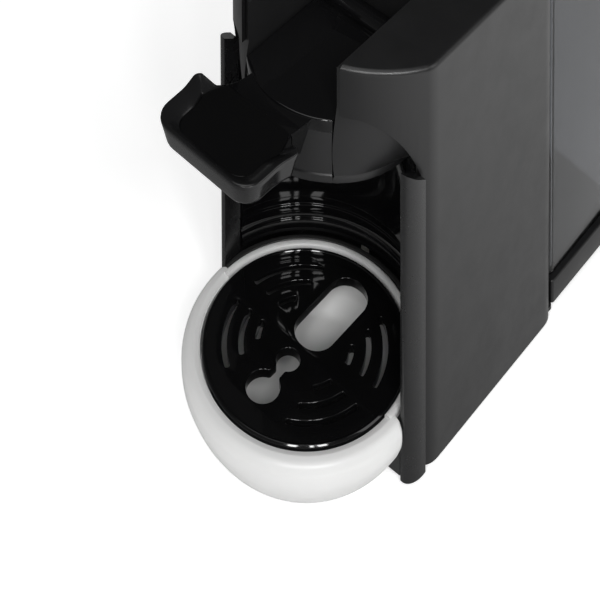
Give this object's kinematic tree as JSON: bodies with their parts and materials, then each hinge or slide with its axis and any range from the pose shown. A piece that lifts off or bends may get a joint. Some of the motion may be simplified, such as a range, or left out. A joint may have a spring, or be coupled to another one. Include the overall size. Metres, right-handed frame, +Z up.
{
  "type": "pod coffee machine",
  "caption": "Narrow pod coffee machine: round cup niche with a bowl drip tray and slotted grille, tongue-shaped lid, lift-out rear water tank.",
  "frame": {"origin": "on the ground, under the middle of the machine's bounding box", "axes": "+X to the machine's own left as it faces you, that is right in front view; +Y to the back; +Z up; the front faces -Y"},
  "size_m": [0.133, 0.271, 0.2096],
  "materials": {
    "dark_plastic": "matte black moulded plastic",
    "shell_plastic": "satin charcoal moulded plastic",
    "column_gloss": "semi-gloss black plastic",
    "niche_gloss": "high-gloss black plastic",
    "head_gloss": "semi-gloss black plastic",
    "white_plastic": "white moulded plastic, soft sheen",
    "pale_plastic": "natural moulded plastic",
    "tank_plastic": "clear smoke-grey plastic",
    "rubber": "black rubber",
    "hose_rubber": "milky silicone",
    "seal_rubber": "red silicone",
    "steel": "stainless steel",
    "aluminium": "cast aluminium",
    "board": "green circuit board",
    "chrome_trim": "plated plastic"
  },
  "bodies": {
    "housing": {"base_plate": "dark_plastic", "outer_shell": "shell_plastic", "column_left": "column_gloss", "column_right": "column_gloss", "niche_liner": "niche_gloss", "tray_cradle": "shell_plastic", "head_housing": "head_gloss", "hinge_pin": "steel", "spout": "dark_plastic", "thermoblock": "aluminium", "pump": "pale_plastic", "pump_mount_lower": "rubber", "pump_mount_upper": "rubber", "flow_meter": "pale_plastic", "hose_tank": "hose_rubber", "hose_pump": "hose_rubber", "hose_heater": "hose_rubber", "control_board": "board", "board_relay": "dark_plastic", "start_switch": "dark_plastic", "led_ring": "pale_plastic", "rocker_frame": "dark_plastic", "tank_dock": "shell_plastic", "dock_seal": "seal_rubber", "mains_inlet": "dark_plastic", "foot_front_left": "rubber", "foot_front_right": "rubber", "foot_rear_left": "rubber", "foot_rear_right": "rubber", "screw_front_left": "steel", "screw_front_right": "steel", "screw_rear_left": "steel", "screw_rear_right": "steel"},
    "lid": {"lid_frame": "head_gloss", "lid_inset": "niche_gloss", "pierce_unit": "steel", "pierce_seal": "seal_rubber"},
    "pod_cradle": {"pod_holder": "dark_plastic"},
    "tray": {"drip_tray": "white_plastic"},
    "grille": {"drip_grille": "niche_gloss"},
    "tank": {"water_tank": "tank_plastic", "tank_lid_pin": "steel"},
    "tank_cover": {"tank_lid": "shell_plastic"},
    "valve": {"tank_valve": "seal_rubber"},
    "button": {"start_button": "chrome_trim"},
    "rocker": {"power_rocker": "dark_plastic"}
  },
  "joints": [
    {"name": "lid_hinge", "type": "hinge", "parent": "housing", "child": "lid", "pos_m": [0, -0.012, 0.179], "axis": [-1, 0, 0], "range_deg": [0, 62]},
    {"name": "pod_tilt", "type": "hinge", "parent": "housing", "child": "pod_cradle", "pos_m": [0, -0.01, 0.1495], "axis": [-1, 0, 0], "range_deg": [0, 7.75]},
    {"name": "tray_slide", "type": "slide", "parent": "housing", "child": "tray", "axis": [0, -1, 0], "range_m": [0, 0.14]},
    {"name": "grille_lift", "type": "slide", "parent": "tray", "child": "grille", "axis": [0, 0, 1], "range_m": [0, 0.04]},
    {"name": "tank_lift", "type": "slide", "parent": "housing", "child": "tank", "axis": [0, 0, 1], "range_m": [0, 0.16]},
    {"name": "tank_lid_hinge", "type": "hinge", "parent": "tank", "child": "tank_cover", "pos_m": [0, 0.128, 0.2016], "axis": [-1, 0, 0], "range_deg": [0, 95]},
    {"name": "tank_valve_lift", "type": "slide", "parent": "tank", "child": "valve", "axis": [0, 0, 1], "range_m": [0, 0.003], "stiffness_N_per_m": 80, "springref_m": -0.002},
    {"name": "start_press", "type": "slide", "parent": "housing", "child": "button", "axis": [0, 0, -1], "range_m": [0, 0.002], "stiffness_N_per_m": 500, "springref_m": -0.002},
    {"name": "power_rock", "type": "hinge", "parent": "housing", "child": "rocker", "pos_m": [-0.062, 0.045, 0.034], "axis": [0, -1, 0], "range_deg": [0, 10]}
  ],
  "couplings": [
    {"joint": "pod_tilt", "follows": "lid_hinge", "ratio": 0.125}
  ]
}
